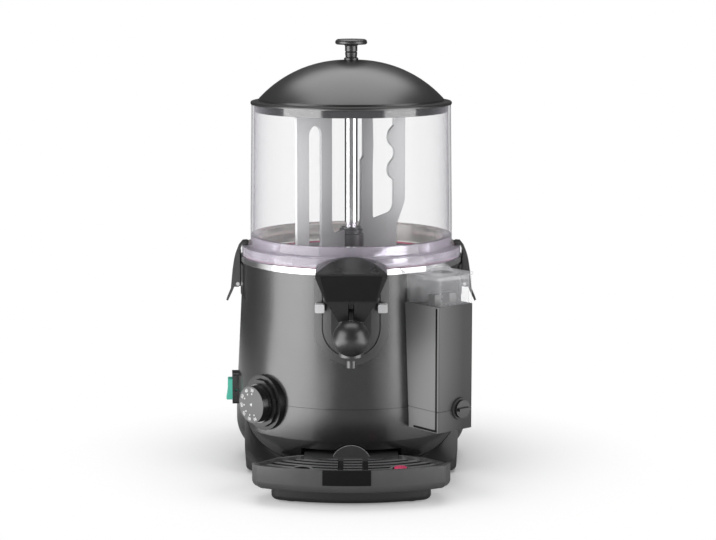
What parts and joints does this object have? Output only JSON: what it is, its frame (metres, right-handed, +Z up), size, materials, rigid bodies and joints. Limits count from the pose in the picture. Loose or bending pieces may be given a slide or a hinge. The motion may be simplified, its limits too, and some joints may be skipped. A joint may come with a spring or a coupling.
{
  "type": "hot chocolate dispenser",
  "caption": "Counter-top hot drink dispenser: heated water jacket, clear domed bowl with a turning mixer, front tap with a ball lever, side water filler, dial and drip tray.",
  "frame": {"origin": "middle of the machine's footprint, on the counter", "axes": "+Z up; -Y towards the person who is served (tap and drip tray); +X to their right"},
  "size_m": [0.2783, 0.41, 0.464],
  "materials": {
    "casing_black": "satin black",
    "black_plastic": "fine satin",
    "gloss_black": "gloss",
    "clear": "clear polycarbonate",
    "stainless": "brushed",
    "bright_steel": "polished",
    "zinc_steel": "plain zinc plate",
    "white_plastic": "satin white",
    "grey_plastic": "satin grey",
    "red_rubber": "silicone",
    "black_rubber": "matt",
    "foam": "closed cell foam",
    "green_clear": "lit green",
    "red_plastic": "gloss",
    "copper": "drawn"
  },
  "bodies": {
    "machine": {"base_moulding": "black_plastic", "base_plate": "zinc_steel", "rubber_feet": "black_rubber", "tray_support": "black_plastic", "body_shell_lower": "casing_black", "body_shell_upper": "casing_black", "rear_cover": "casing_black", "cable_gland": "black_plastic", "casing_screws": "bright_steel", "water_tank": "stainless", "product_pan": "bright_steel", "tank_gasket": "red_rubber", "bowl_gasket": "red_rubber", "heating_element": "copper", "insulation_jacket": "foam", "outlet_pipe": "stainless", "shaft_tube": "stainless", "shaft_seal": "red_rubber", "bowl": "clear", "gearbox_housing": "zinc_steel", "gear_motor": "zinc_steel", "tap_body": "black_plastic", "tap_cover": "gloss_black", "tap_plate": "gloss_black", "tap_clips": "white_plastic", "lever_pin": "bright_steel", "tap_spring": "bright_steel", "dial_collar": "gloss_black", "thermostat": "grey_plastic", "switch_bezel": "gloss_black", "filler_box_base": "black_plastic", "filler_box_upper": "black_plastic", "filler_window": "clear", "filler_inlet": "black_plastic", "water_link": "stainless", "latch_brackets": "zinc_steel", "latch_pins": "bright_steel", "terminal_block": "white_plastic", "safety_cutout": "zinc_steel"},
    "lid_top": {"lid": "black_plastic", "lid_knob": "black_plastic"},
    "mixer": {"drive_shaft": "bright_steel", "mixer_hub": "black_plastic", "mixer_rod": "bright_steel", "mixer_blade_left": "white_plastic", "mixer_blade_right": "white_plastic"},
    "lever": {"tap_lever": "black_plastic", "tap_ball": "black_plastic"},
    "piston": {"tap_piston": "white_plastic"},
    "dial": {"thermostat_dial": "grey_plastic", "dial_spindle": "bright_steel"},
    "rocker": {"switch_rocker": "green_clear"},
    "filler_cap": {"filler_lid": "clear"},
    "drain": {"drain_knob": "gloss_black"},
    "right_latch": {"latch_right": "black_plastic"},
    "left_latch": {"latch_left": "black_plastic"},
    "tray": {"drip_tray": "black_plastic", "tray_plate": "gloss_black"},
    "grille": {"drip_grille": "black_plastic"},
    "float": {"tray_float": "red_plastic"}
  },
  "joints": [
    {"name": "lid_lift", "type": "slide", "parent": "machine", "child": "lid_top", "axis": [0, 0, 1], "range_m": [0, 0.12]},
    {"name": "mixer_turn", "type": "hinge", "parent": "machine", "child": "mixer", "pos_m": [0, 0.045, 0.2], "axis": [0, 0, 1], "continuous": true},
    {"name": "lever_tilt", "type": "hinge", "parent": "machine", "child": "lever", "pos_m": [0, -0.102, 0.2], "axis": [-1, 0, 0], "range_deg": [0, 20]},
    {"name": "piston_lift", "type": "slide", "parent": "machine", "child": "piston", "axis": [0, 0, 1], "range_m": [0, 0.0075], "deforming": ["tap_spring"]},
    {"name": "dial_turn", "type": "hinge", "parent": "machine", "child": "dial", "pos_m": [-0.09873, -0.04707, 0.077], "axis": [-0.7314, -0.682, 0], "range_deg": [0, 270]},
    {"name": "rocker_tilt", "type": "hinge", "parent": "machine", "child": "rocker", "pos_m": [-0.12869, 0.036, 0.0765], "axis": [0.0698, -0.9976, 0], "range_deg": [0, 12]},
    {"name": "filler_lid_lift", "type": "slide", "parent": "machine", "child": "filler_cap", "axis": [0, 0, 1], "range_m": [0, 0.05]},
    {"name": "drain_turn", "type": "hinge", "parent": "machine", "child": "drain", "pos_m": [0.11513, -0.0824, 0.079], "axis": [0.6428, -0.766, 0], "range_deg": [0, 90]},
    {"name": "right_latch_swing", "type": "hinge", "parent": "machine", "child": "right_latch", "pos_m": [0.1254, 0.045, 0.1947], "axis": [0, 1, 0], "range_deg": [0, 36]},
    {"name": "left_latch_swing", "type": "hinge", "parent": "machine", "child": "left_latch", "pos_m": [-0.1254, 0.045, 0.1947], "axis": [0, -1, 0], "range_deg": [0, 36]},
    {"name": "tray_slide", "type": "slide", "parent": "machine", "child": "tray", "axis": [0, -1, 0], "range_m": [0, 0.15]},
    {"name": "grille_lift", "type": "slide", "parent": "tray", "child": "grille", "axis": [0, 0, 1], "range_m": [0, 0.016]},
    {"name": "float_rise", "type": "slide", "parent": "tray", "child": "float", "axis": [0, 0, 1], "range_m": [0, 0.006]}
  ],
  "couplings": [
    {"joint": "piston_lift", "follows": "lever_tilt", "m_per_rad": 0.0205}
  ]
}
